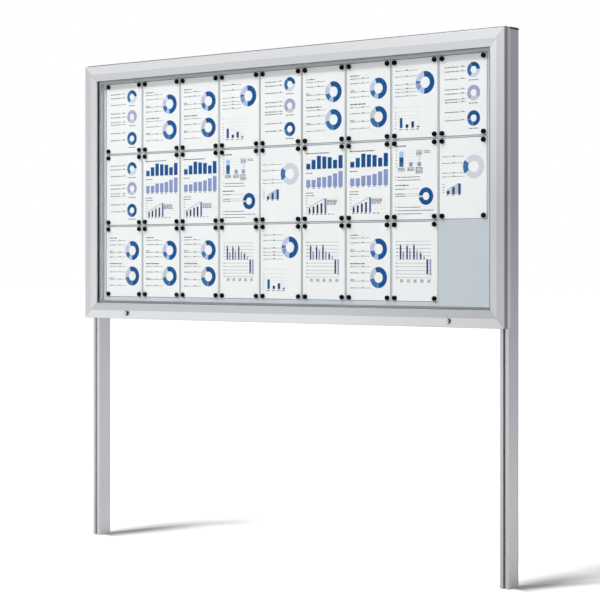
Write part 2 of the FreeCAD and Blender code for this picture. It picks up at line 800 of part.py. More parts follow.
bolt_zs = [case_z0 + bolt_first + i * bolt_pitch for i in range(bolts_per_post)]
nut_v = floor_v - washer_t - nut_t
bolts = []
washers = []
nuts = []
blank = post_blank()
for hand, sign in hands:
    x = sign * post_x
    save(hand + "_post", blank.translated(V(x, 0, 0)))
    cap_plug = box(x - core_half + plug_fit, x + core_half - plug_fit, core_y0 + plug_fit,
                   core_y1 - plug_fit, post_h - cap_plug_l, post_h + cap_t / 2)
    save(hand + "_post_cap", cap_plate(x).fuse(cap_plug).removeSplitter())
    foot = box(x - core_half + plug_fit, x + core_half - plug_fit, core_y0 + plug_fit,
               core_y1 - plug_fit, 0, foot_l)
    save(hand + "_post_foot", foot.cut(rod(V(x, 0, -slack), V(x, 0, foot_thread_l), foot_thread_r)))
    for z in bolt_zs:
        shank = rod(V(x, front_y + nut_v - bolt_end, z), V(x, cavity_y0 + slack, z), bolt_r)
        head = box(x - bolt_head_l / 2, x + bolt_head_l / 2, cavity_y0, cavity_y0 + bolt_head_t,
                   z - bolt_head_w / 2, z + bolt_head_w / 2)
        bolts.append(shank.fuse(head).removeSplitter())
        washer = rod(V(x, front_y + floor_v - washer_t, z), V(x, front_y + floor_v, z), washer_r)
        washers.append(washer.cut(rod(V(x, front_y, z), V(x, front, z), bolt_r + bolt_play)))
        nuts.append(hexagon(V(x, front_y + nut_v, z), back, nut_flats, nut_t, bolt_r + screw_play))
        floor_holes.append(rod(V(x, front_y + floor_v - slack, z),
                               V(x, front_y + case_depth + slack, z), bolt_r + bolt_play))
save("hammer_bolts", *bolts)
save("bolt_washers", *washers)
save("bolt_nuts", *nuts)


# Frame members, with every hole that the fittings need
holes = Part.makeCompound(floor_holes)
for side in sides:
    name = side + ("_rail" if side in ("bottom", "top") else "_stile")
    save("case_" + name, case_member[side].cut(holes))
    save("door_" + name, door_member[side])

print("board %.0f x %.0f, top of posts %.0f, strut %.0f closed" % (case_w, case_h, post_h, strut_l))
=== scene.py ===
"""Looks of a lockable notice board.

A glazed aluminium case on two posts, with three rows of printed sheets behind the glass.
"""

import math
import random

import bpy
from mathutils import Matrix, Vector


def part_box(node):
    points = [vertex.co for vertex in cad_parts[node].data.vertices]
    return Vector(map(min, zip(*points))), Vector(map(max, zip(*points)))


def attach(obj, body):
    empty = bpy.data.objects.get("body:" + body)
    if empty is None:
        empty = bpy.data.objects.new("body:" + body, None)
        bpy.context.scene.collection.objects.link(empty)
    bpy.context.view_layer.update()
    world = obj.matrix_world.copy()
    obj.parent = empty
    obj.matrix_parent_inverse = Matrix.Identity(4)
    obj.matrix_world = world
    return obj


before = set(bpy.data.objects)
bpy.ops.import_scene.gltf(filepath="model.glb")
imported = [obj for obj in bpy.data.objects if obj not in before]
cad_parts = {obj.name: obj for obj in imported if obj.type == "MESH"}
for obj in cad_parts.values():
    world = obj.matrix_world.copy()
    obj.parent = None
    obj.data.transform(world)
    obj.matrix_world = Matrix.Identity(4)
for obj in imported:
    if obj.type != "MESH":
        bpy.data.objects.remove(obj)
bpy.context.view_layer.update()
MM = 0.001

# The door's left stile stands at the end of the board and is as high as the case, so it gives the outline, in metres.
frame_low, frame_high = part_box("door_left_stile")
FACE_FRONT, CASE_HALF_WIDTH = frame_low.y, -frame_low.x
CASE_MID_HEIGHT, CASE_HALF_HEIGHT = (frame_low.z + frame_high.z) / 2, (frame_high.z - frame_low.z) / 2
CASE_TOP = CASE_MID_HEIGHT + CASE_HALF_HEIGHT
POST_X = sum(corner.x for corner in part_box("right_post")) / 2
# Metres right of the middle, and below mid height, where the painted sheen on the metal starts to change.
SHEEN_FROM_X, SHEEN_BELOW_MIDDLE = 0.2, 0.1


# Nodes ----------------------------------------------------------------------


def linear(colour):
    """An sRGB hex colour as linear red, green, blue and alpha."""
    parts = [int(colour[i : i + 2], 16) / 255 for i in (1, 3, 5)]
    return [p / 12.92 if p <= 0.04045 else ((p + 0.055) / 1.055) ** 2.4 for p in parts] + [1.0]


def add(tree, kind, inputs, **settings):
    """Adds a node with its settings. Each input is a value or the socket that feeds it."""
    made = tree.nodes.new(kind)
    for name, value in settings.items():
        setattr(made, name, value)
    for name, value in inputs.items():
        if isinstance(value, bpy.types.NodeSocket):
            tree.links.new(value, made.inputs[name])
        else:
            made.inputs[name].default_value = value
    return made


def point(tree, kind="Object"):
    """Where a point lies on its object, in metres, or another kind of coordinates."""
    return add(tree, "ShaderNodeTexCoord", {}).outputs[kind]


def axes(tree, kind="Object"):
    """The same as separate X, Y and Z."""
    return add(tree, "ShaderNodeSeparateXYZ", {0: point(tree, kind)}).outputs


def maths(tree, operation, *values):
    """What a Math node makes of one or two values."""
    return add(tree, "ShaderNodeMath", dict(enumerate(values)), operation=operation).outputs[0]


def ramp(tree, value, start, end, low=0.0, high=1.0):
    """Turns a value that runs from start to end into one that runs from low to high and stays there."""
    limits = {"From Min": start, "From Max": end, "To Min": low, "To Max": high}
    return add(tree, "ShaderNodeMapRange", {"Value": value, **limits}).outputs["Result"]


def mix(tree, factor, first, second, kind="RGBA"):
    """A blend of two colours or values, the first one at 0. A colour is given as sRGB hex or as a socket."""
    one, other, result = {"FLOAT": (2, 3, 0), "RGBA": (6, 7, 2)}[kind]
    first, second = (linear(end) if isinstance(end, str) else end for end in (first, second))
    return add(tree, "ShaderNodeMix", {0: factor, one: first, other: second}, data_type=kind).outputs[result]


def between(tree, pattern, low, high):
    """Turns a pattern of 0 to 1 into values from low to high, or into colours between two."""
    if isinstance(low, str):
        return mix(tree, pattern, low, high)
    return ramp(tree, pattern, 0.0, 1.0, low, high)


def mottle(tree, width, run=(1, 1, 1), detail=3.0):
    """Noise with spots `width` millimetres wide, drawn out along each axis by run."""
    scale = [1 / (width * MM * r) for r in run]
    sized = add(tree, "ShaderNodeMapping", {"Vector": point(tree), "Scale": scale}).outputs["Vector"]
    return add(tree, "ShaderNodeTexNoise", {"Vector": sized, "Scale": 1.0, "Detail": detail}).outputs["Fac"]


def relief(tree, shader, pattern, height):
    """Raises the surface by the pattern, up to `height` millimetres."""
    bump = add(tree, "ShaderNodeBump", {"Height": pattern, "Distance": height * MM, "Strength": 1.0})
    tree.links.new(bump.outputs["Normal"], shader.inputs["Normal"])


def feed(tree, shader, **sources):
    """Links patterns to the shader's sockets."""
    for socket, source in sources.items():
        tree.links.new(source, shader.inputs[socket.replace("_", " ")])


def turned_away(tree, flat, turned):
    """0 where the surface looks forwards or back, 1 where it is turned, between two cosines of its angle."""
    facing = maths(tree, "ABSOLUTE", axes(tree, "Normal")["Y"])
    return ramp(tree, facing, flat, turned)


def past_edges(tree):
    """How far a point lies past the board's ends, and past its upper or lower edge. Both are negative on the board."""
    place = axes(tree)
    from_middle = maths(tree, "SUBTRACT", place["Z"], CASE_MID_HEIGHT)
    reaches = ((place["X"], CASE_HALF_WIDTH), (from_middle, CASE_HALF_HEIGHT))
    return [maths(tree, "SUBTRACT", maths(tree, "ABSOLUTE", along), half) for along, half in reaches]


def mitre_seam(tree, width):
    """1 on the 45 degree joints at the corners of the case and door, 0 away from them, `width` millimetres wide."""
    apart = maths(tree, "ABSOLUTE", maths(tree, "SUBTRACT", *past_edges(tree)))
    return ramp(tree, apart, 0.0, width * MM, 1.0, 0.0)


def outside_walls(tree, depth):
    """1 on what lies within `depth` millimetres of the board's outline, 0 further in."""
    nearest = maths(tree, "MAXIMUM", *past_edges(tree))
    return ramp(tree, nearest, -depth * MM, (0.5 - depth) * MM)


def painted_sheen_over_board(tree, lower_left, lower_right, upper_left, upper_right):
    """Painted sheen: a tone that drifts over the face, from the left half to the right end and from mid height to the
    upper edge.
    """
    place = axes(tree)
    rightward = ramp(tree, place["X"], SHEEN_FROM_X, CASE_HALF_WIDTH)
    upward = ramp(tree, place["Z"], CASE_MID_HEIGHT - SHEEN_BELOW_MIDDLE, CASE_TOP)
    lower = between(tree, rightward, lower_left, lower_right)
    upper = between(tree, rightward, upper_left, upper_right)
    return mix(tree, upward, lower, upper, "FLOAT")


# Materials ------------------------------------------------------------------

# Die lines are 0.3 mm apart, drawn 2.5 mm apart to show. The clouds in the anodising are far wider.
DIE_LINE, CLOUD = 2.5, 180
# How far the lines are drawn out, along a rail or a stile.
ALONG_X, ALONG_Z = (400, 1, 1), (1, 1, 400)
# The front bevel starts just behind the flat face, in metres.
BEVEL_START, BEVEL_FULL = 0.0001, 0.0004
# Cosines between which a wall starts to count, and fully counts, as turned away: on extrusions, and on turned parts.
EXTRUSION_TURN, LOCK_TURN = (0.96, 0.85), (0.8, 0.5)
# Millimetres from the board's outline that count as outer sides, and the width of the dark line at a mitre.
OUTER_WALL, MITRE_WIDTH = 6, 1.4
MITRE_TONE, MITRE_STRENGTH = "#5C5F64", 0.5
ETCHED_METALLIC = 0.3
# The tone of the darkest streaks, and how rough the metal is from line to line.
STREAK_TONE, SATIN_LOW, SATIN_HIGH = 0.97, 0.30, 0.44
# A tone that stays the same over the whole board.
STEADY = (1.0, 1.0, 1.0, 1.0)


def material(name, metallic, roughness, **sockets):
    """A material with its main values on the shader's own sockets."""
    made = bpy.data.materials.new(name)
    made.use_nodes = True
    shader = made.node_tree.nodes["Principled BSDF"]
    shader.inputs["Metallic"].default_value = metallic
    shader.inputs["Roughness"].default_value = roughness
    for socket, value in sockets.items():
        shader.inputs[socket.replace("_", " ")].default_value = value
    return made, made.node_tree, shader


def anodised(name, run, flat, bevel, side, inner, drift, mitred=True):
    """Satin anodised aluminium extrusion with die lines along it and a painted sheen that drifts over the board.

    Flats, bevels, outer sides and inner walls have their own tones: painted light and shade for how each faces the
    light.
    A mitred member also shows its seams, and its inner walls are matt from etching.
    """
    made, tree, shader = material(name, 1.0, 0.36)
    lines = mottle(tree, DIE_LINE, run, 2.0)
    sloped = ramp(tree, axes(tree)["Y"], FACE_FRONT + BEVEL_START, FACE_FRONT + BEVEL_FULL)
    turned, outside = turned_away(tree, *EXTRUSION_TURN), outside_walls(tree, OUTER_WALL)
    # Painted light and shade: each way a face can turn gets its own tone.
    colour = mix(tree, turned, between(tree, sloped, flat, bevel), between(tree, outside, inner, side))
    if mitred:
        recess = maths(tree, "MULTIPLY", turned, between(tree, outside, 1.0, 0.0))
        feed(tree, shader, Metallic=between(tree, recess, 1.0, ETCHED_METALLIC))
        seam = between(tree, mitre_seam(tree, MITRE_WIDTH), 0.0, MITRE_STRENGTH)
        colour = mix(tree, seam, colour, MITRE_TONE)
    streaks = between(tree, maths(tree, "ADD", lines, mottle(tree, CLOUD)), STREAK_TONE, 1.0)
    # Painted sheen: the tone drifts over the board as the light falling on it would.
    tone = maths(tree, "MULTIPLY", streaks, painted_sheen_over_board(tree, *drift))
    colour = add(tree, "ShaderNodeVectorMath", {0: colour, "Scale": tone}, operation="SCALE").outputs[0]
    feed(tree, shader, Base_Color=colour, Roughness=between(tree, lines, SATIN_LOW, SATIN_HIGH))
    relief(tree, shader, lines, 0.02)
    return made


def coated(name, light, dark, spot, roughness, height, **sockets):
    """A smooth coat, moulding or print whose tone and gloss drift a little over spots of that size."""
    made, tree, shader = material(name, 0.0, roughness, **sockets)
    spots = mottle(tree, spot)
    gloss = between(tree, spots, roughness - 0.06, roughness + 0.06)
    feed(tree, shader, Base_Color=between(tree, spots, dark, light), Roughness=gloss)
    relief(tree, shader, spots, height)
    return made


def plated(name, light, dark, spot, low, high, height, run=(1, 1, 1), painted_wall_shade=None):
    """Bare or plated metal: spots or turned lines move its tone and gloss. Its side walls can be given a painted shade
    of their own.
    """
    made, tree, shader = material(name, 1.0, low)
    spots = mottle(tree, spot, run)
    colour = between(tree, spots, dark, light)
    if painted_wall_shade:
        # Painted shade on the side walls.
        colour = mix(tree, turned_away(tree, *LOCK_TURN), colour, painted_wall_shade)
    feed(tree, shader, Base_Color=colour, Roughness=between(tree, spots, low, high))
    relief(tree, shader, spots, height)
    return made


# Satin silver anodising on the door's rails: soft even shine with lines along them. Painted sheen makes them paler
# above than below and darkest low on the right; painted shade darkens bevels and outer sides, painted light the inner
# walls.
RAIL_TONES, RAIL_PAINTED_SHEEN = ("#E2E4E6", "#CBCDD0", "#A8AAAE", "#F2F3F4"), (0.95, 0.78, 0.97, 1.03)
door_rail = anodised("satin_anodised_door_rail", ALONG_X, *RAIL_TONES, RAIL_PAINTED_SHEEN)
# The same on the door's stiles, whose lines run upright. Painted light makes the bevels paler than the flats and the
# inner walls pale, painted shade darkens the outer sides, and painted sheen darkens them low on the right and
# brightens the top right.
STILE_TONES, STILE_PAINTED_SHEEN = ("#CBCCCF", "#D9DADD", "#A8AAAE", "#F2F3F4"), (1.0, 0.79, 1.0, 1.12)
door_stile = anodised("satin_anodised_door_stile", ALONG_Z, *STILE_TONES, STILE_PAINTED_SHEEN)
# Satin anodising on the case behind the door: an even grey, with outer sides and inner walls made paler by painted
# light.
CASE_TONES = ("#CDCED1", "#CDCED1", "#ECEDEF", "#DADCDE")
case_rail = anodised("satin_anodised_case_rail", ALONG_X, *CASE_TONES, STEADY)
case_stile = anodised("satin_anodised_case_stile", ALONG_Z, *CASE_TONES, STEADY)
# Satin anodising on the posts: a little greyer than the frame. Painted sheen brightens the left post's leg and darkens
# the right one's, and painted light makes the sides paler than the front.
POST_TONES, POST_PAINTED_SHEEN = ("#C8C9CB", "#C8C9CB", "#D6D6D8", "#D6D6D8"), (1.07, 0.94, 1.03, 1.02)
post_metal = anodised("satin_anodised_post", ALONG_Z, *POST_TONES, POST_PAINTED_SHEEN, mitred=False)
# Blue-grey polyester coat on sheet steel: low sheen with a fine orange peel.
panel_coat = coated("blue_grey_coated_steel", "#CBD2D9", "#C5CCD4", 3.0, 0.42, 0.02)
# Uncoated office paper: white, matt, with a faint fibre cloud.
paper = coated("office_paper", "#FAFAFA", "#F3F4F5", 2.0, 0.85, 0.01, Specular_IOR_Level=0.3)
# Moulded black plastic caps over the magnets: fine grain and hardly any shine.
magnet_plastic = coated("moulded_black_plastic", "#060607", "#040405", 1.2, 0.6, 0.02, Specular_IOR_Level=0.02)
# Extruded grey EPDM rubber: dull, with a chalky bloom.
gasket_rubber = coated("grey_gasket_rubber", "#8C8E91", "#808285", 4.0, 0.72, 0.03)

# The seal is the same rubber. Painted shade makes it dark in the slit beside each door stile, and painted light makes
# it pale along the top. The painted slit shade is given in metres past the board's ends, the painted top light in
# metres below the case's top.
PAINTED_SLIT_SHADE_START, PAINTED_SLIT_SHADE_FULL = -0.0695, -0.0685
PAINTED_TOP_LIGHT_START, PAINTED_TOP_LIGHT_FULL = 0.085, 0.075
seal_rubber, seal_tree, seal_shader = material("grey_seal_rubber", 0.0, 0.72)
bloom = mottle(seal_tree, 4.0)
painted_slit_shade = ramp(seal_tree, past_edges(seal_tree)[0], PAINTED_SLIT_SHADE_START, PAINTED_SLIT_SHADE_FULL)
painted_top_light = ramp(seal_tree, axes(seal_tree)["Z"], CASE_TOP - PAINTED_TOP_LIGHT_START, CASE_TOP - PAINTED_TOP_LIGHT_FULL)
# A random bloom, with painted light along the top and painted shade in the slit.
bloom_and_painted_light = mix(seal_tree, painted_top_light, between(seal_tree, bloom, "#8F9194", "#9B9DA0"), "#C9CBCE")
bloom_and_painted_light = mix(seal_tree, painted_slit_shade, bloom_and_painted_light, "#17181A")
feed(seal_tree, seal_shader, Base_Color=bloom_and_painted_light, Roughness=between(seal_tree, bloom, 0.66, 0.78))
relief(seal_tree, seal_shader, bloom, 0.03)

# Bright chrome on die-cast locks: mirror shine with faint polishing marks, and painted shade, nearly black, on the
# wall round each lock's front.
chrome = plated("bright_chrome", "#E6E7E9", "#D4D6D9", 6.0, 0.05, 0.14, 0.002, painted_wall_shade="#0C0C0D")
# Zinc-plated steel: grey with a dull spangle.
zinc = plated("zinc_plated_steel", "#C9CBCD", "#A9ABAE", 2.5, 0.28, 0.48, 0.01)
# Grey passivated steel of the hinge: darker than bright zinc, dull, with faint rolling lines along it.
hinge_steel = plated("grey_passivated_steel", "#77797C", "#66686B", 2.0, 0.34, 0.50, 0.01, (60, 1, 1))
# Moulded dark grey plastic post caps: fine spark grain, dull shine.
cap_plastic = coated("moulded_grey_plastic", "#3E4043", "#303235", 1.5, 0.50, 0.03)
# Machined aluminium feet and keys: turning lines across, brighter than the anodised faces.
machined = plated("machined_aluminium", "#D6D7D8", "#BFC0C2", 1.5, 0.24, 0.40, 0.02, (40, 40, 1))
# Black paint on the strut tubes: smooth with a slight ripple.
strut_paint = coated("black_strut_paint", "#1E1F21", "#151617", 8.0, 0.28, 0.01)
# Hard chrome on ground rods: bright, with rings too fine to see one by one.
rod_chrome = plated("hard_chromed_rod", "#D9DADC", "#C6C8CB", 1.0, 0.10, 0.20, 0.002, (8, 8, 1))

# Clear low-reflection glass: seen through, with a faint unevenness in its weak shine.
glass, glass_tree, glass_shader = material("low_reflection_glass", 0.0, 0.0, IOR=1.1, Transmission_Weight=1.0)
haze = mottle(glass_tree, 220)
clearness, gloss = between(glass_tree, haze, "#FBFEFD", "#FFFFFF"), between(glass_tree, haze, 0.0, 0.012)
feed(glass_tree, glass_shader, Base_Color=clearness, Roughness=gloss)

# Toner on paper: flat tones with a slightly closed, less matt surface than the sheet.
INKS = {
    "navy": ("#005192", "#004A87"),
    "royal": ("#376FAA", "#3268A1"),
    "sky": ("#A9C8EA", "#A2C2E5"),
    "lilac": ("#CBCAE8", "#C4C3E2"),
    "violet": ("#A9A5CE", "#A29EC8"),
    "frost": ("#D6DEEB", "#D0D9E7"),
    "mauve": ("#DADAE6", "#D4D4E1"),
    "slate": ("#8A9BCB", "#8394C3"),
    "teal": ("#1F6F9A", "#1C6890"),
    "ash": ("#CBCED4", "#C4C8CE"),
    "soot": ("#2C2F34", "#23262A"),
    "dusk": ("#232D66", "#1E285C"),
    "mist": ("#B9BDC4", "#B0B5BC"),
    "fume": ("#5A5D62", "#54575C"),
    # Not toner: a painted shadow along the edges of each sheet, made like the inks.
    "edge": ("#404348", "#3A3D42"),
}
inks = {
    name: coated("toner_" + name, light, dark, 1.0, 0.55, 0.004, Specular_IOR_Level=0.15)
    for name, (light, dark) in INKS.items()
}

FINISHES = {
    door_rail: ["door_bottom_rail", "door_top_rail"],
    door_stile: ["door_left_stile", "door_right_stile"],
    case_rail: ["case_bottom_rail", "case_top_rail"],
    case_stile: ["case_left_stile", "case_right_stile"],
    post_metal: ["left_post", "right_post"],
    panel_coat: ["back_panel"],
    paper: ["sheets_top_row", "sheets_middle_row", "sheets_bottom_row"],
    magnet_plastic: ["magnets_top_row", "magnets_middle_row", "magnets_bottom_row"],
    glass: ["pane"],
    gasket_rubber: ["pane_gasket"],
    seal_rubber: ["case_seal"],
    chrome: ["left_lock_body", "right_lock_body", "left_lock_plug", "right_lock_plug"],
    zinc: [
        "left_lock_cam", "right_lock_cam", "left_cam_screw", "right_cam_screw",
        "left_lock_keeper", "right_lock_keeper", "lock_nuts",
        "case_strut_brackets", "case_strut_studs", "door_strut_brackets", "door_bracket_screws",
        "case_fitting_screws", "hammer_bolts", "bolt_washers", "bolt_nuts", "left_rod_end", "right_rod_end",
    ],
    hinge_steel: ["hinge_pin", "case_hinge_leaf", "case_hinge_screws", "door_hinge_leaf", "door_hinge_screws"],
    cap_plastic: ["left_post_cap", "right_post_cap"],
    machined: ["case_corner_plates", "door_corner_keys", "left_post_foot", "right_post_foot"],
    strut_paint: ["left_strut_cylinder", "right_strut_cylinder"],
    rod_chrome: ["left_strut_rod", "right_strut_rod"],
}
for finish, names in FINISHES.items():
    for name in names:
        for material_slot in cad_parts[name].material_slots:
            material_slot.material = finish
dressed = {name for names in FINISHES.values() for name in names}
if dressed != set(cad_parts):
    raise RuntimeError(f"nodes without a finish: {sorted(set(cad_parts) ^ dressed)}")
# Light passes the pane as it does through thin clear glass.
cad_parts["pane"].visible_shadow = False


# Printed sheets -------------------------------------------------------------

# All in millimetres. EDGE is the width of the grey line round each sheet, a painted shadow of the sheet's edge on the
# gap.
SHEET_WIDTH, SHEET_HEIGHT, SHEET_GAP, EDGE = 210, 297, 5, 1.8
# How far each ink lies in front of the paper, so that marks that cross don't share a plane.
LAYERS = {"edge": 0.02, "mist": 0.03, "fume": 0.03, "ash": 0.04, "soot": 0.09}
PRINT_LAYER = 0.07
# Strokes that stand for words: drawn bolder than their size, with lengths for the size 1.5 and gaps of 0.8 sizes.
BOLDER, WORD_SIZE, WORD_LENGTHS, WORD_GAP = 1.6, 1.5, (2.2, 7.5), 0.8
RING_STEP = 6  # Degrees.
pen = random.Random(11)


class Sheet:
    """Marks on one sheet, in millimetres from its left and top edges."""

    def __init__(self):
        self.blocks, self.shapes = [], []
        # A painted shadow line round the sheet's edges.
        for top in (0, SHEET_HEIGHT - EDGE):
            self.block("edge", 0, top, SHEET_WIDTH, EDGE)
        for left in (0, SHEET_WIDTH - EDGE):
            self.block("edge", left, 0, EDGE, SHEET_HEIGHT)

    def block(self, ink, left, top, width, height):
        """An upright rectangle of one tone."""
        self.blocks.append((ink, left + width / 2, top + height / 2, width, height))

    def bars(self, ink, left, pitch, width, foot, heights):
        """Bars of equal width that stand on one line."""
        for i, height in enumerate(heights):
            self.block(ink, left + i * pitch, foot - height, width, height)

    def rules(self, left, right, tops, ink="mist", weight=0.5):
        """Level lines, one below the other."""
        for top in tops:
            self.block(ink, left, top - weight / 2, right - left, weight)

    def words(self, left, right, tops, size=WORD_SIZE, ink="soot"):
        """Lines of text as plain strokes, one a word."""
        size *= BOLDER
        for top in tops:
            at = left
            while at < right - size:
                length = min(pen.uniform(*WORD_LENGTHS) * size / WORD_SIZE, right - at)
                self.block(ink, at, top - size / 2, length, size)
                at += length + size * WORD_GAP

    def stroke(self, ink, points, weight):
        """A plain line through the points."""
        for (u0, v0), (u1, v1) in zip(points, points[1:]):
            length = math.hypot(u1 - u0, v1 - v0)
            du, dv = (v1 - v0) / length * weight / 2, (u0 - u1) / length * weight / 2
            self.area(ink, [(u0 + du, v0 + dv), (u1 + du, v1 + dv), (u1 - du, v1 - dv), (u0 - du, v0 - dv)])

    def area(self, ink, points):
        """A shape with any straight edges."""
        self.shapes.append((ink, points))

    def ring(self, u, v, radius, hole, slices):
        """A ring chart. Each slice runs clockwise from one angle to another, from twelve o'clock."""
        for ink, start, end in slices:
            steps = max(2, round((end - start) / RING_STEP))
            for i in range(steps):
                a, b = (math.radians(start + (end - start) * (i + j) / steps) for j in (0, 1))
                corners = [(a, radius), (b, radius), (b, radius * hole), (a, radius * hole)]
                self.area(ink, [(u + r * math.sin(t), v - r * math.cos(t)) for t, r in corners])


def three_rings():
    """Three ring charts down the right, each with rows that lead to it."""
    sheet = Sheet()
    charts = [
        (60, [("navy", -32, 88), ("frost", 90, 208), ("royal", 210, 326)]),
        (143.5, [("violet", -73, 130), ("ash", 132, 216), ("slate", 218, 238), ("violet", 240, 285)]),
        (235, [("navy", -98, 186), ("royal", 188, 260)]),
    ]
    for v, slices in charts:
        sheet.ring(151, v, 28, 0.46, slices)
        sheet.words(131, 172, [v + 37], 1.8)
    for v in (46, 62, 90, 127, 143, 164, 174, 210, 240):
        sheet.words(25, 84, [v], 2.0, "fume")
        sheet.rules(84, 118, [v], "fume", 1.2)
        sheet.words(100, 107, [v - 2], 2.0)
    return sheet


def two_rings():
    """Two larger ring charts with captions."""
    sheet = Sheet()
    charts = [
        (
            102,
            [("navy", -25, 183), ("sky", 185, 213), ("royal", 215, 258), ("lilac", 260, 308), ("frost", 310, 333)],
        ),
        (209, [("navy", -25, 183), ("royal", 185, 263), ("ash", 265, 333)]),
    ]
    for v, slices in charts:
        sheet.ring(153, v, 40, 0.5, slices)
    sheet.words(19, 62, [49], 2.2)
    sheet.words(19, 92, [157], 2.4)
    for v, left in ((60, 48), (78, 60), (110, 44), (129, 42), (169, 38), (192, 60), (223, 44), (249, 42)):
        sheet.words(19, left, [v], 1.8, "fume")
        sheet.rules(left, 114, [v], "fume", 1.3)
        sheet.words(76, 84, [v - 2], 1.6)
    for v in (104, 218):
        sheet.words(19, 38, [v], 1.8)
    return sheet


def ring_over_bars():
    """A ring chart over a small bar chart."""
    sheet = Sheet()
    slices = [("navy", -10, 188), ("sky", 190, 223), ("slate", 225, 263), ("royal", 265, 283), ("lilac", 285, 348)]
    sheet.ring(152, 93, 42, 0.5, slices)
    for v in (44, 66, 96, 112, 124, 139):
        sheet.words(16, 34, [v], 1.6, "fume")
        sheet.rules(34, 118, [v], "fume", 1.3)
        sheet.words(66, 76, [v - 2], 1.6)
    sheet.rules(26, 134, (180, 196, 211, 222, 233, 244), "ash", 0.8)
    for v in (178, 199, 212, 222, 234, 245, 257):
        sheet.words(16, 21, [v], 1.6, "fume")
    for ink, left, height in (("navy", 37, 38), ("dusk", 64, 13), ("dusk", 90, 23), ("soot", 115, 5)):
        sheet.block(ink, left, 257 - height, 12, height)
        sheet.words(left - 3, left + 14, [263], 1.8)
    return sheet


def three_bar_charts():
    """Two plain bar charts over one with a line through it."""
    sheet = Sheet()
    sheet.words(17, 133, [33], 2.2)
    sheet.rules(19, 190, (56, 69, 82, 96))
    charts = (("navy", 94, (22, 36, 51, 47, 44, 33, 50)), ("slate", 164, (29, 29, 37, 38, 43, 51, 59)))
    for ink, foot, heights in charts:
        sheet.bars(ink, 19, 26.4, 20, foot, heights)
        sheet.bars("soot", 26, 26.4, 5, foot, [3] * 7)
    sheet.words(17, 54, [109], 2.0)
    sheet.rules(19, 190, (126, 139, 152))
    for i in range(7):
        sheet.words(24 + i * 26.4, 34 + i * 26.4, [168], 1.8)
    sheet.words(17, 58, [186, 196], 1.8)
    sheet.rules(17, 188, (208, 219, 230, 241, 252))
    for v in (206, 216, 228, 240, 252, 264):
        sheet.words(17, 24, [v], 1.4, "fume")
    sheet.bars("dusk", 31, 19.6, 9, 265, (21, 27, 34, 39))
    sheet.bars("royal", 109.4, 19.6, 9, 265, (56,))
    sheet.stroke("fume", [(26, 243), (50, 233), (72, 224), (112, 208)], 1.6)
    sheet.words(121, 170, [216, 221, 226, 231], 2.0, "fume")
    for i in range(7):
        sheet.words(29 + i * 19.6, 40 + i * 19.6, [268.5], 1.8)
    return sheet


def stack_and_ring():
    """A stacked bar, two short ones and lists over a ring chart."""
    sheet = Sheet()
    sheet.words(17, 66, [22], 2.4)
    sheet.rules(32, 139, (39, 50, 63, 75, 88))
    for v in (38, 50, 62, 74, 86, 98):
        sheet.words(19, 25, [v], 1.6)
    for ink, top, height in (("sky", 42, 22), ("navy", 64, 17), ("dusk", 81, 2), ("teal", 83, 16)):
        sheet.block(ink, 35, top, 19, height)
    for left in (80, 118):
        sheet.block("slate", left, 86, 16, 13)
        sheet.block("ash", left + 3, 89, 10, 4)
        sheet.words(left, left + 16, [84], 1.4)
    sheet.words(112, 140, [42, 47, 52, 57], 1.8, "fume")
    sheet.words(148, 176, [43, 49], 1.8, "fume")
    sheet.rules(126, 129, (64, 68, 72, 76), "fume", 2.0)
    for left, right, lines in ((28, 60, 3), (72, 104, 3), (109, 141, 5)):
        sheet.words(left, right, [104 + 5 * i for i in range(lines)], 1.7)
    for v, right in ((138, 128), (149, 133)):
        sheet.words(17, 21, [v - 3], 1.6)
        sheet.words(27, right, [v], 1.6)
    sheet.words(17, 77, [168], 2.4)
    for v in (182, 200, 208):
        sheet.words(17, 62, [v], 1.8)
        sheet.rules(62, 124, [v], "fume", 0.9)
    sheet.ring(156, 210, 32.5, 0.45, [("navy", -84, 262), ("ash", 264, 274)])
    for v, right in ((250, 131), (262, 190), (274, 137)):
        sheet.words(17, 21, [v - 2], 1.6)
        sheet.words(27, right, [v], 1.6)
    return sheet


def pale_ring_and_bars():
    """A pale ring with one dark slice over three bars on a shaded slope."""
    sheet = Sheet()
    sheet.ring(153, 108, 43, 0.48, [("mauve", -54, 234)])
    sheet.ring(150, 108, 45, 0.5, [("royal", 236, 304)])
    for v in (69, 93, 129, 142):
        sheet.words(13, 34, [v], 1.6, "fume")
        sheet.rules(34, 112, [v], "fume", 1.3)
        sheet.words(62, 68, [v - 2], 1.6)
    for v in (170, 180, 190, 199):
        sheet.words(16, 22, [v], 1.6)
    sheet.area("ash", [(37, 206), (37, 194), (62, 182), (88, 168), (97, 168), (97, 206)])
    for ink, left, height in (("dusk", 34, 13), ("navy", 58, 26), ("navy", 84, 38)):
        sheet.block(ink, left, 206 - height, 11, height)
        sheet.words(left, left + 10, [209], 2.0)
    sheet.stroke("fume", [(36, 190), (62, 178), (89, 166)], 1.8)
    return sheet


def up_and_down_bars():
    """Pairs of bars above the zero line and one pair below it."""
    sheet = Sheet()
    for v in (74, 87, 101, 114.5, 128, 155, 168, 182.5, 195, 208.6):
        sheet.rules(24, 180, [v], "fume", 0.9)
        sheet.words(20, 27, [v], 1.6)
    sheet.rules(24, 180, [141], "soot")
    rises = (
        ("dusk", 37, 52), ("slate", 49.6, 26), ("dusk", 66.7, 50), ("slate", 80, 32),
        ("dusk", 98, 52), ("slate", 112, 28), ("dusk", 128.4, 23), ("slate", 144, 8),
    )
    for ink, left, height in rises:
        sheet.block(ink, left, 141 - height, 7.5, height)
        sheet.words(left, left + 7, [137 - height], 1.5)
    sheet.block("dusk", 158, 141, 8, 55)
    sheet.block("violet", 172, 141, 8, 59)
    for i in range(5):
        sheet.words(39 + i * 31, 53 + i * 31, [217, 221, 225], 1.5)
    return sheet


